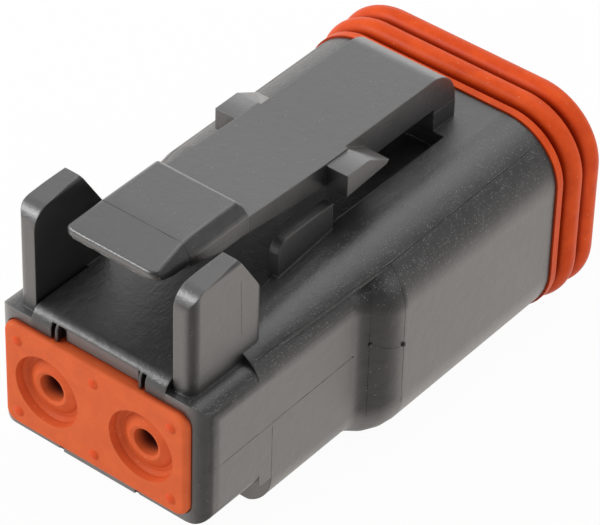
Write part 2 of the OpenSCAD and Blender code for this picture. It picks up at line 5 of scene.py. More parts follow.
import bmesh
import bpy
from mathutils import Matrix, Vector, noise
from mathutils.bvhtree import BVHTree


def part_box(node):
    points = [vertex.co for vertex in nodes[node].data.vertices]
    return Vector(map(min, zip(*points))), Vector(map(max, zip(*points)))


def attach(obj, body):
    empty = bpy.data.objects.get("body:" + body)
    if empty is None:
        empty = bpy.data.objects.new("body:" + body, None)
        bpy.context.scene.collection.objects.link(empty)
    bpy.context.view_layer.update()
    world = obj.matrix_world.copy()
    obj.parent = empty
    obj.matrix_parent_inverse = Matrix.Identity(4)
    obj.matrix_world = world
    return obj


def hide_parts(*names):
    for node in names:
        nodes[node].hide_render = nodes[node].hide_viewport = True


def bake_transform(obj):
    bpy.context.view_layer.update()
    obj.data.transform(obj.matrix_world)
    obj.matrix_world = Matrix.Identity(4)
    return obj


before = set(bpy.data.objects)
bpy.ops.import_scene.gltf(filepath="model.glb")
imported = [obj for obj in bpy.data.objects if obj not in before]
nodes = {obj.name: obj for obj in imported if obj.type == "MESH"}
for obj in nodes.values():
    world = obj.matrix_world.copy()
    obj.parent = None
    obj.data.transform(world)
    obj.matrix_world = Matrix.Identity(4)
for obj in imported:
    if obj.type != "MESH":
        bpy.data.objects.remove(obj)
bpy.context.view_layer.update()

MM = 0.001
BUMP_H = 0.2                                  # height of the wire seal's bumps, mm
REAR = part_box("wire_seal")[0].y + BUMP_H * MM     # wire seal's rear face
AXIS = sum(corner.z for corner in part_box("left_socket")) / 2   # height of the contact axes
PITCH = abs(sum(corner.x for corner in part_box("left_socket"))) / MM   # between the two contact axes, mm

# layout places in millimetres
MIDDLE = (0, 20, 2)                           # what the camera and the lamps are aimed at
FOOT_SEAM_Y = 7.15                            # seam down the side to the rear feet
FLARE_REAR_Y, FLARE_FRONT_Y = 16.3, 18.4      # seams down the start and the end of the flare
PAD_CREASE_Y = 4.76                           # line across the thumb pad
LEG_Y = 31.15                                 # hinge axis of the latch leg
PAD_REACH_Y, PAD_FLOOR_Z = 10.7, 11.3         # edges behind and above these belong to the thumb pad

# heights and widths in millimetres of Object coordinates
SHOULDER_X = (5.3, 6.2)                       # dust settles beyond the deck's edge
SHOULDER_TOP = (17.9, 17.3)                   # and below the lever
CHANNEL_X = (5.7, 5.3)                        # the lever's channel lies between the ears
CHANNEL_TOP, CHANNEL_FLOOR = (16.8, 15.6), (11.0, 12.0)   # fades between its top and its floor
CHANNEL_FRONT = (15.0, 14.0)                  # and ends before the ring seal

# linear colours of wear and dust, and of painted shade and painted edge highlight
# sharp edges, lightened partly as wear and partly as a painted highlight along them
WORN_EDGE_AND_HIGHLIGHT = (0.16, 0.145, 0.13, 1)
DUST = (0.34, 0.335, 0.33, 1)
# painted shade for tight hollows and corners
DEEP_SHADE = (0.006, 0.0055, 0.0055, 1)
SCORED_LOW, SCORED_HIGH = (0.115, 0.11, 0.105, 1), (0.16, 0.155, 0.15, 1)
SILICONE_FLECK = (0.86, 0.4, 0.26, 1)
# painted shade deep down in the wire passages
PASSAGE_SHADE = (0.07, 0.009, 0.005, 1)
FLOOR_LOW, FLOOR_HIGH = (0.86, 0.86, 0.86, 1), (0.9, 0.9, 0.9, 1)


def spot(x, y, z):
    """A point in metres from layout millimetres: X across, Y from the rear face, Z from the contact axes."""
    return Vector((x * MM, REAR + y * MM, AXIS + z * MM))


# ---- camera and light ----

def aim(azimuth, elevation, roll=0.0):
    """Rotation whose Z axis points back from the aim, as a camera or a lamp needs."""
    a, e, r = radians(azimuth), radians(elevation), radians(roll)
    back = Vector((sin(a) * cos(e), -cos(a) * cos(e), sin(e)))
    right = Vector((cos(a), sin(a), 0))
    up = back.cross(right)
    turned_right = cos(r) * right + sin(r) * up
    turned_up = -sin(r) * right + cos(r) * up
    return Matrix((turned_right, turned_up, back)).transposed()


def add_camera():
    """Long lens over the rear right corner."""
    data = bpy.data.cameras.new("studio_camera")
    data.sensor_width = 36
    data.lens = 227.93
    data.shift_x = -0.0054
    data.shift_y = -0.0014
    data.clip_start = 0.01
    data.clip_end = 10
    camera = bpy.data.objects.new("studio_camera", data)
    turn = aim(37.852, 39.4525, 1.7236)
    stand = spot(*MIDDLE) + turn @ Vector((0.5639, -1.3205, 249.2328)) * MM
    camera.matrix_world = Matrix.Translation(stand) @ turn.to_4x4()
    bpy.context.scene.collection.objects.link(camera)
    bpy.context.scene.camera = camera


def add_panel(name, azimuth, elevation, distance, width, height, power):
    """A soft rectangular panel lamp aimed at the part's middle."""
    data = bpy.data.lights.new(name, "AREA")
    data.shape = "RECTANGLE"
    data.size = width
    data.size_y = height
    data.energy = power
    lamp = bpy.data.objects.new(name, data)
    turn = aim(azimuth, elevation)
    lamp.matrix_world = Matrix.Translation(spot(*MIDDLE) + turn @ Vector((0, 0, distance))) @ turn.to_4x4()
    bpy.context.scene.collection.objects.link(lamp)


class Graph:
    """Short hand for building a node tree."""

    def __init__(self, tree):
        self.tree = tree

    def add(self, kind, inputs=None, **settings):
        """A new node; a socket given as an input is linked, anything else is set."""
        node = self.tree.nodes.new(kind)
        for name, value in settings.items():
            setattr(node, name, value)
        for key, value in (inputs or {}).items():
            if isinstance(value, bpy.types.NodeSocket):
                self.tree.links.new(value, node.inputs[key])
            else:
                node.inputs[key].default_value = value
        return node

    def maths(self, operation, a, b=0.0):
        """Result of a sum of one or two values."""
        return self.add("ShaderNodeMath", {0: a, 1: b}, operation=operation).outputs[0]

    def mix_colour(self, share, a, b):
        """Colour a, turning into colour b as the share goes from 0 to 1."""
        node = self.add("ShaderNodeMix", data_type="RGBA")
        for socket, value in ((node.inputs[0], share), (node.inputs[6], a), (node.inputs[7], b)):
            if isinstance(value, bpy.types.NodeSocket):
                self.tree.links.new(value, socket)
            else:
                socket.default_value = value
        return node.outputs[2]

    def span(self, value, low, high, to_low=0.0, to_high=1.0, smooth=True):
        """The value's place between low and high, as a value between to_low and to_high."""
        kind = "SMOOTHSTEP" if smooth else "LINEAR"
        node = self.add("ShaderNodeMapRange", {0: value, 1: low, 2: high, 3: to_low, 4: to_high},
                        interpolation_type=kind)
        return node.outputs[0]


def new_group(name, inputs, outputs):
    """An empty shader node group with named sockets; inputs are (name, kind, default)."""
    group = bpy.data.node_groups.new(name, "ShaderNodeTree")
    for socket, kind, default in inputs:
        made = group.interface.new_socket(socket, in_out="INPUT", socket_type=kind)
        if default is not None:
            made.default_value = default
    for socket, kind in outputs:
        group.interface.new_socket(socket, in_out="OUTPUT", socket_type=kind)
    graph = Graph(group)
    return group, graph, graph.add("NodeGroupInput").outputs, graph.add("NodeGroupOutput").inputs


FLOAT, VECTOR = "NodeSocketFloat", "NodeSocketVector"


def grain_group():
    """Fine moulded grain as a height, and slow mottling as a tone."""
    group, graph, given, out = new_group(
        "moulded_grain",
        [("Place", VECTOR, None), ("Grain per mm", FLOAT, 9.0), ("Mottle per mm", FLOAT, 0.5)],
        [("Height", FLOAT), ("Tone", FLOAT)])
    fine = graph.add("ShaderNodeTexNoise", {"Vector": given["Place"], "Scale": given["Grain per mm"],
                                            "Detail": 3.0, "Roughness": 0.6})
    slow = graph.add("ShaderNodeTexNoise", {"Vector": given["Place"], "Scale": given["Mottle per mm"],
                                            "Detail": 4.0, "Roughness": 0.55})
    graph.tree.links.new(fine.outputs["Fac"], out["Height"])
    graph.tree.links.new(graph.span(slow.outputs["Fac"], 0.3, 0.7), out["Tone"])
    return group


def fleck_group():
    """Small pale flecks scattered over a surface, as a mask."""
    group, graph, given, out = new_group(
        "scattered_flecks",
        [("Place", VECTOR, None), ("Cells per mm", FLOAT, 2.6), ("Radius", FLOAT, 0.12), ("Share", FLOAT, 0.5)],
        [("Mask", FLOAT)])
    cells = graph.add("ShaderNodeTexVoronoi", {"Vector": given["Place"], "Scale": given["Cells per mm"]})
    shade = graph.add("ShaderNodeSeparateColor", {0: cells.outputs["Color"]})
    picked = graph.maths("LESS_THAN", shade.outputs[0], given["Share"])
    radius = graph.maths("MULTIPLY", given["Radius"], graph.span(shade.outputs[1], 0.0, 1.0, 0.4, 1.0))
    inner = graph.maths("MULTIPLY", radius, 0.55)
    dot = graph.maths("SUBTRACT", 1.0, graph.span(cells.outputs["Distance"], inner, radius))
    graph.tree.links.new(graph.maths("MULTIPLY", picked, dot), out["Mask"])
    return group


def drag_group():
    """Faint lines along the draw of the mould, as a tone."""
    group, graph, given, out = new_group("draw_lines", [("Place", VECTOR, None), ("Lines per mm", FLOAT, 9.0)],
                                         [("Tone", FLOAT)])
    drawn = graph.add("ShaderNodeMapping", {"Vector": given["Place"], "Scale": (1.0, 0.07, 1.0)})
    lines = graph.add("ShaderNodeTexNoise", {"Vector": drawn.outputs[0], "Scale": given["Lines per mm"],
                                             "Detail": 2.0, "Roughness": 0.5})
    graph.tree.links.new(graph.span(lines.outputs["Fac"], 0.35, 0.65), out["Tone"])
    return group


def edge_group():
    """Softened normals at sharp edges, and a mask of those edges."""
    group, graph, given, out = new_group("softened_edges", [("Radius", FLOAT, 0.00012)],
                                         [("Normal", VECTOR), ("Edge", FLOAT)])
    soft = graph.add("ShaderNodeBevel", {"Radius": given["Radius"]}, samples=6)
    flat = graph.add("ShaderNodeNewGeometry")
    likeness = graph.add("ShaderNodeVectorMath", {0: soft.outputs[0], 1: flat.outputs["Normal"]},
                         operation="DOT_PRODUCT")
    graph.tree.links.new(soft.outputs[0], out["Normal"])
    graph.tree.links.new(graph.span(likeness.outputs["Value"], 0.995, 0.9), out["Edge"])
    return group


def hollow_group():
    """0 in tight hollows and corners, 1 where a surface is open to the air; it masks the painted shade in
    hollows.
    """
    group, graph, given, out = new_group(
        "open_air", [("Reach", FLOAT, 0.005), ("Shut", FLOAT, 0.25), ("Free", FLOAT, 0.95)], [("Open", FLOAT)])
    air = graph.add("ShaderNodeAmbientOcclusion", {"Distance": given["Reach"]}, samples=8)
    graph.tree.links.new(graph.span(air.outputs["AO"], given["Shut"], given["Free"]), out["Open"])
    return group


def region_group():
    """The plug's dusty shoulders and its shaded lever channel, as masks; both also set painted shade in the
    sheen.
    """
    group, graph, given, out = new_group("plug_regions", [("Place", VECTOR, None), ("Facing", VECTOR, None)],
                                         [("Shoulder", FLOAT), ("Channel", FLOAT)])
    facing = graph.add("ShaderNodeSeparateXYZ", {0: given["Facing"]})
    where = graph.add("ShaderNodeSeparateXYZ", {0: given["Place"]})
    sideways = graph.maths("ABSOLUTE", where.outputs[0])
    beside = graph.maths("MULTIPLY", graph.span(sideways, *SHOULDER_X),
                         graph.span(where.outputs[2], *SHOULDER_TOP))
    shoulder = graph.maths("MULTIPLY", graph.span(facing.outputs[2], 0.12, 0.5), beside)
    graph.tree.links.new(shoulder, out["Shoulder"])
    upper = graph.maths("MULTIPLY", graph.span(where.outputs[2], *CHANNEL_TOP),
                        graph.span(where.outputs[2], *CHANNEL_FLOOR))
    behind_ring = graph.span(where.outputs[1], *CHANNEL_FRONT)
    channel = graph.maths("MULTIPLY", graph.span(sideways, *CHANNEL_X),
                          graph.maths("MULTIPLY", upper, behind_ring))
    graph.tree.links.new(channel, out["Channel"])
    return group


def turning_group():
    """Fine turning marks round a drawn or turned part, as a tone."""
    group, graph, given, out = new_group(
        "turning_marks", [("Place", VECTOR, None), ("Marks per mm", FLOAT, 3.0)], [("Tone", FLOAT)])
    rings = graph.add("ShaderNodeTexWave", {"Vector": given["Place"], "Scale": given["Marks per mm"],
                                            "Distortion": 0.6}, bands_direction="Y")
    graph.tree.links.new(rings.outputs["Fac"], out["Tone"])
    return group


def entry_group():
    """The wire seal's raised bumps and the passages through its wire entries, as masks; the passage mask paints
    shade down the passages.
    """
    group, graph, given, out = new_group("wire_entries", [("Place", VECTOR, None)],
                                         [("Raised", FLOAT), ("Passage shade", FLOAT)])
    where = graph.add("ShaderNodeSeparateXYZ", {0: given["Place"]})
    sideways = graph.maths("SUBTRACT", graph.maths("ABSOLUTE", where.outputs[0]), PITCH / 2)
    upward = graph.maths("SUBTRACT", where.outputs[2], AXIS / MM)
    reach = graph.maths("SQRT", graph.maths("ADD", graph.maths("MULTIPLY", sideways, sideways),
                                            graph.maths("MULTIPLY", upward, upward)))
    behind = graph.maths("SUBTRACT", where.outputs[1], REAR / MM)
    raised = graph.maths("MULTIPLY", graph.span(behind, -0.02, -0.08), graph.span(behind, -0.5, -0.4))
    passage_shade = graph.maths("MULTIPLY", graph.span(behind, 0.45, 1.5), graph.span(reach, 1.3, 1.0))
    graph.tree.links.new(raised, out["Raised"])
    graph.tree.links.new(passage_shade, out["Passage shade"])
    return group


GRAIN, FLECKS, DRAG, EDGES, HOLLOW = grain_group(), fleck_group(), drag_group(), edge_group(), hollow_group()
REGIONS, TURNING, ENTRIES = region_group(), turning_group(), entry_group()


def start_material(name):
    """A material with its graph, its shader and its place in millimetres."""
    material = bpy.data.materials.new(name)
    material.use_nodes = True
    graph = Graph(material.node_tree)
    shader = material.node_tree.nodes["Principled BSDF"]
    coords = graph.add("ShaderNodeTexCoord")
    place = graph.add("ShaderNodeMapping", {"Vector": coords.outputs["Object"], "Scale": (1000, 1000, 1000)})
    return material, graph, shader, place.outputs[0], coords


def placed_group(graph, group, **inputs):
    """Outputs of a node group placed in a material; input names have spaces for underscores."""
    node = graph.add("ShaderNodeGroup", node_tree=group)
    for name, value in inputs.items():
        socket = node.inputs[name.replace("_", " ")]
        if isinstance(value, bpy.types.NodeSocket):
            graph.tree.links.new(value, socket)
        else:
            socket.default_value = value
    return node.outputs


def scored_panel(graph, place, facing, colour):
    """The paler scored face of the sunk panel over the wire seal, laid over a colour."""
    facing = graph.add("ShaderNodeSeparateXYZ", {0: facing})
    where = graph.add("ShaderNodeSeparateXYZ", {0: place})
    inside = graph.maths("MULTIPLY", graph.span(graph.maths("ABSOLUTE", where.outputs[0]), 2.98, 2.9),
                         graph.maths("MULTIPLY", graph.span(where.outputs[2], 13.3, 13.45),
                                     graph.span(where.outputs[1], REAR / MM + 1.6, REAR / MM + 1.3)))
    panel = graph.maths("MULTIPLY", inside, graph.span(facing.outputs[1], -0.9, -0.97))
    lines = graph.add("ShaderNodeTexWave", {"Vector": place, "Scale": 2.2, "Distortion": 1.2},
                      bands_direction="X")
    scored = graph.mix_colour(lines.outputs["Fac"], SCORED_LOW, SCORED_HIGH)
    return graph.mix_colour(panel, colour, scored)


def moulded_plastic(name, base, roughness, dusty, scored=False):
    """Glass-filled nylon: finely grained, faintly dragged along its draw, dusty on its shoulders, with painted
    shade in its hollows and a painted highlight partly lightening its worn edges.
    """
    material, graph, shader, place, coords = start_material(name)
    grain = placed_group(graph, GRAIN, Place=place, Grain_per_mm=5.5, Mottle_per_mm=1.3)
    drag = placed_group(graph, DRAG, Place=place, Lines_per_mm=8.0)
    edges = placed_group(graph, EDGES, Radius=0.00017)
    regions = placed_group(graph, REGIONS, Place=place, Facing=coords.outputs["Normal"])
    shoulder, channel = regions["Shoulder"], regions["Channel"]
    share = graph.maths("MULTIPLY", graph.span(shoulder, 0.0, 1.0, 0.03, dusty, smooth=False),
                        graph.span(grain["Tone"], 0.0, 1.0, 0.45, 1.2, smooth=False))
    large = placed_group(graph, FLECKS, Place=place, Cells_per_mm=3.4, Radius=0.16, Share=share)
    small = placed_group(graph, FLECKS, Place=place, Cells_per_mm=7.5, Radius=0.42, Share=share)
    flecks = graph.maths("MAXIMUM", large["Mask"], small["Mask"])
    opened = placed_group(graph, HOLLOW, Reach=0.005, Shut=0.2, Free=0.9)["Open"]
    darker = [value * 0.8 for value in base] + [1]
    lighter = [value * 1.2 for value in base] + [1]
    tone = graph.maths("ADD", graph.maths("MULTIPLY", drag["Tone"], 0.3),
                       graph.maths("MULTIPLY", grain["Tone"], 0.7))
    colour = graph.mix_colour(tone, darker, lighter)
    # paler sharp edges: partly wear, partly a painted edge highlight
    colour = graph.mix_colour(graph.maths("MULTIPLY", edges["Edge"], 0.3), colour, WORN_EDGE_AND_HIGHLIGHT)
    colour = graph.mix_colour(graph.maths("MULTIPLY", flecks, 0.5), colour, DUST)
    # painted shade: darker in tight hollows and corners
    colour = graph.mix_colour(opened, DEEP_SHADE, colour)
    if scored:
        colour = scored_panel(graph, place, coords.outputs["Normal"], colour)
    graph.tree.links.new(colour, shader.inputs["Base Color"])
    rough = graph.span(tone, 0.0, 1.0, roughness - 0.03, roughness + 0.05, smooth=False)
    graph.tree.links.new(rough, shader.inputs["Roughness"])
    moulded = graph.maths("ADD", grain["Height"], graph.maths("MULTIPLY", grain["Tone"], 0.8))
    laid_on = graph.maths("ADD", graph.maths("MULTIPLY", drag["Tone"], 0.2),
                          graph.maths("MULTIPLY", flecks, 1.2))
    height = graph.maths("ADD", moulded, laid_on)
    bump = graph.add("ShaderNodeBump", {"Height": height, "Normal": edges["Normal"], "Strength": 0.8,
                                        "Distance": 0.00002})
    graph.tree.links.new(bump.outputs[0], shader.inputs["Normal"])
    shader.inputs["IOR"].default_value = 1.7
    shader.inputs["Specular IOR Level"].default_value = 0.65
    # painted shade in the sheen: the coat thins in hollows, on the shoulders and down the lever's channel
    dulled = graph.maths("MULTIPLY", opened, graph.span(shoulder, 0.0, 1.0, 1.0, 0.55))
    sheen = graph.maths("MULTIPLY", dulled, graph.span(channel, 0.0, 1.0, 1.0, 0.2, smooth=False))
    graph.tree.links.new(sheen, shader.inputs["Coat Weight"])
    shader.inputs["Coat IOR"].default_value = 1.65
    shader.inputs["Coat Roughness"].default_value = roughness - 0.02
    return material


def silicone(name, base, dark, sheen_roughness):
    """Silicone rubber with fine pale flecks, with painted shade in its hollows and dark painted shade down in
    its wire passages.
    """
    material, graph, shader, place, coords = start_material(name)
    grain = placed_group(graph, GRAIN, Place=place, Grain_per_mm=11.0, Mottle_per_mm=0.7)
    edges = placed_group(graph, EDGES, Radius=0.00008)
    flecks = placed_group(graph, FLECKS, Place=place, Cells_per_mm=3.6, Radius=0.24, Share=0.22)
    entries = placed_group(graph, ENTRIES, Place=place)
    opened = placed_group(graph, HOLLOW, Reach=0.0009, Shut=0.35, Free=0.88)["Open"]
    colour = graph.mix_colour(grain["Tone"], (*dark, 1), (*base, 1))
    richer = [base[0], base[1] * 0.62, base[2] * 0.5, 1]
    colour = graph.mix_colour(graph.maths("MULTIPLY", entries["Raised"], 0.85), colour, richer)
    colour = graph.mix_colour(graph.maths("MULTIPLY", flecks["Mask"], 0.45), colour, SILICONE_FLECK)
    # painted shade: darker and deeper red in tight hollows and corners
    colour = graph.mix_colour(opened, [dark[0] * 0.52, dark[1] * 0.35, dark[2] * 0.35, 1], colour)
    # painted shade: dark red deep in the wire passages
    colour = graph.mix_colour(entries["Passage shade"], colour, PASSAGE_SHADE)
    graph.tree.links.new(colour, shader.inputs["Base Color"])
    rough = graph.span(grain["Tone"], 0.0, 1.0, sheen_roughness, sheen_roughness + 0.1, smooth=False)
    graph.tree.links.new(rough, shader.inputs["Roughness"])
    bump = graph.add("ShaderNodeBump", {"Height": grain["Height"], "Normal": edges["Normal"],
                                        "Strength": 0.25, "Distance": 0.00002})
    graph.tree.links.new(bump.outputs[0], shader.inputs["Normal"])
    shader.inputs["Specular IOR Level"].default_value = 0.16
    return material


def plated_metal(name, base, roughness):
    """Drawn or turned metal with faint turning marks."""
    material, graph, shader, place, coords = start_material(name)
    grain = placed_group(graph, GRAIN, Place=place, Grain_per_mm=14.0, Mottle_per_mm=0.8)
    edges = placed_group(graph, EDGES, Radius=0.00006)
    rings = placed_group(graph, TURNING, Place=place, Marks_per_mm=3.0)
    colour = graph.mix_colour(grain["Tone"], [value * 0.8 for value in base] + [1], (*base, 1))
    graph.tree.links.new(colour, shader.inputs["Base Color"])
    shader.inputs["Metallic"].default_value = 1.0
    rough = graph.span(rings["Tone"], 0.0, 1.0, roughness, roughness + 0.12, smooth=False)
    graph.tree.links.new(rough, shader.inputs["Roughness"])
    bump = graph.add("ShaderNodeBump", {"Height": rings["Tone"], "Normal": edges["Normal"],
                                        "Strength": 0.15, "Distance": 0.00001})
    graph.tree.links.new(bump.outputs[0], shader.inputs["Normal"])
    return material


def parting_finish(name, base, roughness):
    """Thin witness of a mould's parting, with its own uneven tone."""
    material, graph, shader, place, coords = start_material(name)
    grain = placed_group(graph, GRAIN, Place=place, Grain_per_mm=6.0, Mottle_per_mm=1.6)
    colour = graph.mix_colour(grain["Tone"], [value * 0.6 for value in base] + [1], (*base, 1))
    graph.tree.links.new(colour, shader.inputs["Base Color"])
    graph.tree.links.new(graph.span(grain["Height"], 0.3, 0.7, roughness, roughness + 0.15),
                         shader.inputs["Roughness"])
    bump = graph.add("ShaderNodeBump", {"Height": grain["Height"], "Strength": 0.3, "Distance": 0.00001})
    graph.tree.links.new(bump.outputs[0], shader.inputs["Normal"])
    return material


def studio_surface(name, seen_glow):
    """Pale floor that shows white and keeps a faint shadow."""
    material, graph, shader, place, coords = start_material(name)
    tree = material.node_tree
    cloud = graph.add("ShaderNodeTexNoise", {"Vector": place, "Scale": 0.02})
    tree.links.new(graph.mix_colour(cloud.outputs["Fac"], FLOOR_LOW, FLOOR_HIGH), shader.inputs["Base Color"])
    shader.inputs["Roughness"].default_value = 0.9
    paths = graph.add("ShaderNodeLightPath")
    share = graph.maths("MULTIPLY", paths.outputs["Is Camera Ray"], seen_glow)
    white = graph.add("ShaderNodeEmission", {"Color": (1, 1, 1, 1), "Strength": 1.0})
    mixed = graph.add("ShaderNodeMixShader", {0: share, 1: shader.outputs[0], 2: white.outputs[0]})
    tree.links.new(mixed.outputs[0], tree.nodes["Material Output"].inputs["Surface"])
    return material


def add_floor():
    """Wide floor that is left out of reflections, so the plug mirrors the surroundings alone."""
    bm = bmesh.new()
    bmesh.ops.create_grid(bm, x_segments=4, y_segments=4, size=3.0)
    mesh = bpy.data.meshes.new("studio_floor")
    bm.to_mesh(mesh)
    bm.free()
    floor = bpy.data.objects.new("studio_floor", mesh)
    bpy.context.scene.collection.objects.link(floor)
    floor.data.materials.append(studio_surface("studio_white", 0.96))
    floor.visible_glossy = False


def add_world(level):
    """White surroundings, greyer towards one corner in reflections; `level` of it lights the matt share."""
    world = bpy.data.worlds.new("studio_air")
    world.use_nodes = True
    background = world.node_tree.nodes["Background"]
    graph = Graph(world.node_tree)
    paths = graph.add("ShaderNodeLightPath")
    mirror_ray = graph.maths("MAXIMUM", paths.outputs["Is Glossy Ray"], paths.outputs["Is Transmission Ray"])
    seen = graph.maths("MAXIMUM", paths.outputs["Is Camera Ray"], mirror_ray)
    way = graph.add("ShaderNodeVectorMath", {0: graph.add("ShaderNodeTexCoord").outputs["Generated"],
                                             1: (1.0, -0.6, 0.6)}, operation="DOT_PRODUCT")
    height = graph.add("ShaderNodeSeparateXYZ", {0: graph.add("ShaderNodeTexCoord").outputs["Generated"]})
    level_part = graph.maths("MULTIPLY", graph.span(height.outputs[2], -0.3, 0.5, 1.0, 0.8),
                             graph.span(height.outputs[2], -0.95, -0.6, 0.7, 1.0))
    mirrored = graph.maths("MULTIPLY", graph.span(way.outputs["Value"], -0.1, 0.55, 1.0, 0.12), level_part)
    tint = graph.mix_colour(graph.span(height.outputs[2], -0.35, 0.15), (1.0, 0.945, 0.9, 1), (1, 1, 1, 1))
    world.node_tree.links.new(tint, background.inputs["Color"])
    shown = graph.maths("MAXIMUM", mirrored, paths.outputs["Is Camera Ray"])
    strength = graph.maths("ADD", graph.maths("MULTIPLY", seen, shown),
                           graph.maths("MULTIPLY", graph.maths("SUBTRACT", 1.0, seen), level))
    world.node_tree.links.new(strength, background.inputs["Strength"])
    bpy.context.scene.world = world


bpy.context.scene.view_settings.view_transform = "Standard"
add_camera()
add_floor()
add_world(0.6)
add_panel("top_panel", azimuth=165, elevation=68, distance=0.35, width=0.30, height=0.22, power=0.22)
add_panel("side_panel", azimuth=100, elevation=15, distance=0.40, width=0.22, height=0.15, power=0.1)
add_panel("back_panel", azimuth=215, elevation=12, distance=0.40, width=0.25, height=0.06, power=0.05)
add_panel("rear_panel", azimuth=-45, elevation=32, distance=0.45, width=0.2, height=0.16, power=0.85)

# ---- finishes ----

charcoal = moulded_plastic("charcoal_nylon", (0.026, 0.0245, 0.0245), roughness=0.4, dusty=0.75, scored=True)
lever_charcoal = moulded_plastic("lever_nylon", (0.026, 0.025, 0.026), roughness=0.36, dusty=0.15)
seal_orange = silicone("terracotta_silicone", (0.75, 0.135, 0.038), (0.68, 0.115, 0.032), sheen_roughness=0.5)
ring_orange = silicone("ring_silicone", (0.84, 0.1, 0.015), (0.72, 0.075, 0.012), sheen_roughness=0.34)
wedge_orange = silicone("wedge_resin", (0.75, 0.2, 0.05), (0.68, 0.17, 0.045), sheen_roughness=0.35)
nickel_plate = plated_metal("nickel_plate", (0.72, 0.71, 0.68), roughness=0.22)
hood_steel = plated_metal("hood_steel", (0.62, 0.61, 0.6), roughness=0.3)
dark_parting = parting_finish("dark_parting", (0.014, 0.012, 0.012), roughness=0.5)
# pale flash lines; their pale tone is partly a painted highlight along the edges they follow
pale_flash_and_highlight = parting_finish("pale_flash_and_highlight", (0.2, 0.19, 0.18), roughness=0.45)

for node, finish in (("housing", charcoal), ("latch_lever", lever_charcoal), ("wire_seal", seal_orange),
                     ("ring_seal", ring_orange), ("wedge_lock", wedge_orange), ("left_socket", nickel_plate),
                     ("right_socket", nickel_plate), ("left_hood", hood_steel), ("right_hood", hood_steel)):
    slots = nodes[node].data.materials
    for index in range(len(slots)):
        slots[index] = finish


# ---- smoothly shaded mouldings ----

def new_piece(name, bm, finish, body):
    """A finished piece at the origin that rides on a body, if one is named."""
    mesh = bpy.data.meshes.new(name)
    bm.to_mesh(mesh)
    bm.free()
    piece = bpy.data.objects.new(name, mesh)
    bpy.context.scene.collection.objects.link(piece)
    mesh.materials.append(finish)
    if body:
        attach(piece, body)
    return piece


def smooth_moulding(name, node, finish, body, crease=34, rounding=0.0):
    """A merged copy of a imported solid, its curved walls smooth between real edges, its thumb pad rounded."""
    bm = bmesh.new()
    bm.from_mesh(nodes[node].data)
    bmesh.ops.remove_doubles(bm, verts=bm.verts, dist=0.000002)
    bmesh.ops.dissolve_degenerate(bm, edges=bm.edges, dist=0.000001)
    bmesh.ops.dissolve_limit(bm, angle_limit=radians(0.4), verts=bm.verts, edges=bm.edges)
    for face in bm.faces:
        face.smooth = True
        face.material_index = 0
    weights = bm.edges.layers.float.new("bevel_weight_edge")
    pad_end = spot(0, PAD_REACH_Y, PAD_FLOOR_Z)
    for edge in bm.edges:
        edge.smooth = edge.calc_face_angle(pi) < radians(crease)
        on_pad = all(vert.co.y < pad_end.y and vert.co.z > pad_end.z for vert in edge.verts)
        edge[weights] = 1.0 if on_pad and not edge.smooth else 0.0
    piece = new_piece(name, bm, finish, body)
    if rounding:
        rounded = piece.modifiers.new("rounded", "BEVEL")
        rounded.width = rounding * MM
        rounded.segments = 3
        rounded.limit_method = "WEIGHT"
        rounded.use_clamp_overlap = False
        rounded.harden_normals = False
    weighted = piece.modifiers.new("weighted", "WEIGHTED_NORMAL")
    weighted.keep_sharp = True
    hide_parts(node)


smooth_moulding("housing_shell", "housing", charcoal, "base")
smooth_moulding("lever_shell", "latch_lever", lever_charcoal, "lever", rounding=0.16)


# ---- witness of the mould ----

def surface_of(node):
    """Nearest-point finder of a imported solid's surface."""
    bm = bmesh.new()
    bm.from_mesh(nodes[node].data)
    found = BVHTree.FromBMesh(bm)
    bm.free()
    return found


SURFACE, LEVER_SURFACE = surface_of("housing"), surface_of("latch_lever")


def draped_line(bm, surface, points, width, proud, ragged=0.0):
    """Lay a thin raised line along layout points, drawn down onto a surface."""
    path = []
    for start, end in zip(points, points[1:]):
        start, end = Vector(start), Vector(end)
        steps = max(2, round((end - start).length / 0.35))
        path += [start.lerp(end, step / steps) for step in range(steps)]
    path.append(Vector(points[-1]))
    laid = [surface.find_nearest(spot(*point)) for point in path]
    section = []
    for index, (place, normal, _, _) in enumerate(laid):
        ahead = laid[min(index + 1, len(laid) - 1)][0] - laid[max(index - 1, 0)][0]
        across = ahead.normalized().cross(normal) * MM
        wander = 1 + ragged * noise.noise(place * 1400)
        up = normal * MM
        rows = (place - across * width * wander / 2 - up * 0.02, place + up * proud * wander,
                place + across * width * wander / 2 - up * 0.02)
        if not section:
            section = [bm.verts.new(row) for row in rows]
            edges = [bm.edges.new(pair) for pair in zip(section, section[1:])]
            continue
        grown = bmesh.ops.extrude_edge_only(bm, edges=edges)["geom"]
        edges = [item for item in grown if isinstance(item, bmesh.types.BMEdge) and
                 not any(vert in section for vert in item.verts)]
        fresh = {vert.co.copy().freeze(): vert for edge in edges for vert in edge.verts}
        moved = [fresh[vert.co.copy().freeze()] for vert in section]
        for vert, row in zip(moved, rows):
            vert.co = row
        section = moved


def face_outwards(bm, surface):
    """Turn each ribbon face so it looks away from the surface it lies on."""
    bm.normal_update()
    inward = [face for face in bm.faces
              if face.normal.dot(surface.find_nearest(face.calc_center_median())[1]) < 0]
    bmesh.ops.reverse_faces(bm, faces=inward)


def line_piece(name, routes, finish, width, proud, ragged=0.0):
    """Lines of one kind on both sides of the housing."""
    bm = bmesh.new()
    for route in routes:
        for side in (1, -1):
            draped_line(bm, SURFACE, [(side * x, y, z) for x, y, z in route], width, proud, ragged)
    face_outwards(bm, SURFACE)
    new_piece(name, bm, finish, "base")


def lever_lines(name, routes, finish, width, proud, ragged=0.0):
    """Lines of one kind on the lever."""
    bm = bmesh.new()
    for route in routes:
        draped_line(bm, LEVER_SURFACE, route, width, proud, ragged)
    face_outwards(bm, LEVER_SURFACE)
    new_piece(name, bm, finish, "lever")


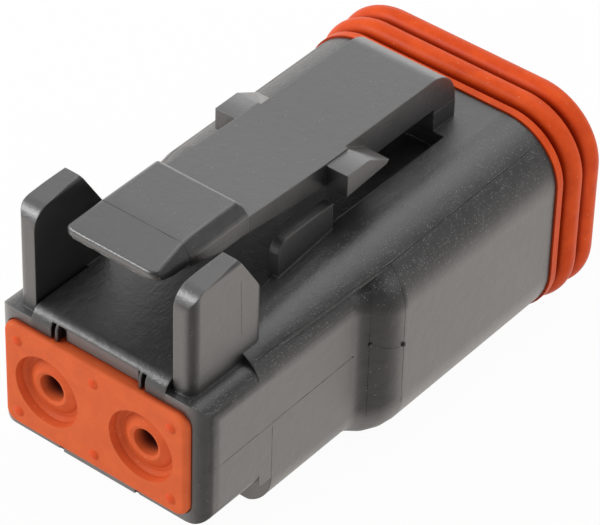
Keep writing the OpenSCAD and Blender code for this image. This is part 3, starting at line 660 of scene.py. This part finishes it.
line_piece("side_parting", [[(8.1, 0.6, -0.4), (8.7, 1.6, -0.2), (8.7, 15.4, 0.0)]],
           dark_parting, width=0.07, proud=0.012, ragged=0.8)
line_piece("foot_seam", [[(8.7, FOOT_SEAM_Y, -0.4), (8.7, FOOT_SEAM_Y - 0.02, -6.2)]],
           dark_parting, width=0.06, proud=0.01, ragged=0.5)
line_piece("flare_seam",
           [[(9.2, FLARE_REAR_Y, 5.4), (9.2, FLARE_REAR_Y, -5.6)],
            [(9.0, FLARE_FRONT_Y, 6.0), (9.86, FLARE_FRONT_Y, 4.65), (10.38, FLARE_FRONT_Y, 2.43),
             (10.43, FLARE_FRONT_Y, -5.0)],
            [(9.7, 16.0, 0.6), (10.4, 17.4, 0.1), (10.43, FLARE_FRONT_Y, -0.1)]],
           dark_parting, width=0.07, proud=0.012, ragged=0.5)
line_piece("ear_seam", [[(7.3, 5.65, 11.6), (7.3, 5.8, 7.2)]],
           dark_parting, width=0.06, proud=0.01, ragged=0.5)
shoulder_route = [(7.94, 6.5, 5.1), (8.44, 10, 5.71), (8.83, 14, 5.98), (8.84, 18.6, 5.79), (9.0, 34.7, 6.26)]
line_piece("shoulder_parting", [shoulder_route],
           dark_parting, width=0.09, proud=0.014, ragged=0.9)
line_piece("shoulder_flash", [[(x, y, z + 0.07) for x, y, z in shoulder_route]],
           pale_flash_and_highlight, width=0.05, proud=0.02, ragged=1.6)


def gate_nubs():
    """Small round ends of the seams where they meet on the flare."""
    bm = bmesh.new()
    for side in (1, -1):
        for place, size in (((9.75, 15.9, 0.65), 0.13), ((10.42, 18.35, 0.0), 0.17)):
            centre, normal, _, _ = SURFACE.find_nearest(spot(side * place[0], place[1], place[2]))
            bmesh.ops.create_uvsphere(bm, u_segments=14, v_segments=8, radius=size * MM,
                                      matrix=Matrix.Translation(centre + normal * 0.03 * MM))
    for face in bm.faces:
        face.smooth = True
    new_piece("gate_nubs", bm, charcoal, "base")


gate_nubs()


lever_lines("pad_crease",
            [[(-3.3, PAD_CREASE_Y, 13.15), (3.15, PAD_CREASE_Y, 13.15), (3.85, PAD_CREASE_Y, 12.2),
              (3.9, PAD_CREASE_Y, 11.7)]],
            dark_parting, width=0.09, proud=0.012, ragged=0.8)
# pale line along the pad's lower edge: partly flash, partly a painted edge highlight
lever_lines("pad_flash",
            [[(-3.7, 3.0, 11.75), (-3.0, 1.7, 12.05), (3.0, 1.7, 12.05), (3.8, 2.9, 11.85), (3.9, 4.7, 11.65)]],
            pale_flash_and_highlight, width=0.07, proud=0.03, ragged=1.2)


def strip_web():
    """Thin web that closes the two notches of the lower strip from behind."""
    bm = bmesh.new()
    made = bmesh.ops.create_cube(bm, size=1.0)
    bmesh.ops.scale(bm, verts=made["verts"], vec=(7.2 * MM, 0.5 * MM, 0.5 * MM))
    bmesh.ops.translate(bm, verts=made["verts"], vec=spot(0, 0.87, -4.61))
    bmesh.ops.bevel(bm, geom=bm.edges[:], offset=0.05 * MM, segments=2, profile=0.5, affect="EDGES",
                    material=-1)
    new_piece("strip_web", bm, dark_parting, "base")


strip_web()


def leg_root():
    """Root of the latch leg between the housing and the lever, where the real moulding flexes; here a fixed
    box, a little narrower at its top.
    """
    foot_z, top_z, half, depth = 6.9, 8.72, 3.48, 2.34
    bm = bmesh.new()
    made = bmesh.ops.create_cube(bm, size=1.0)
    bmesh.ops.scale(bm, verts=made["verts"], vec=(2 * half * MM, depth * MM, (top_z - foot_z) * MM))
    bmesh.ops.translate(bm, verts=made["verts"], vec=spot(0, LEG_Y, (foot_z + top_z) / 2))
    upright = [edge for edge in bm.edges if abs(edge.verts[0].co.z - edge.verts[1].co.z) > MM]
    bmesh.ops.subdivide_edges(bm, edges=upright, cuts=11, use_grid_fill=True)
    sunk = [vert for vert in bm.verts if vert.co.z > spot(0, 0, top_z - 0.3).z]
    bmesh.ops.scale(bm, verts=sunk, vec=(0.985, 0.96, 1), space=Matrix.Translation(-spot(0, LEG_Y, 0)))
    piece = new_piece("leg_root", bm, lever_charcoal, None)
    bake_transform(piece)


leg_root()
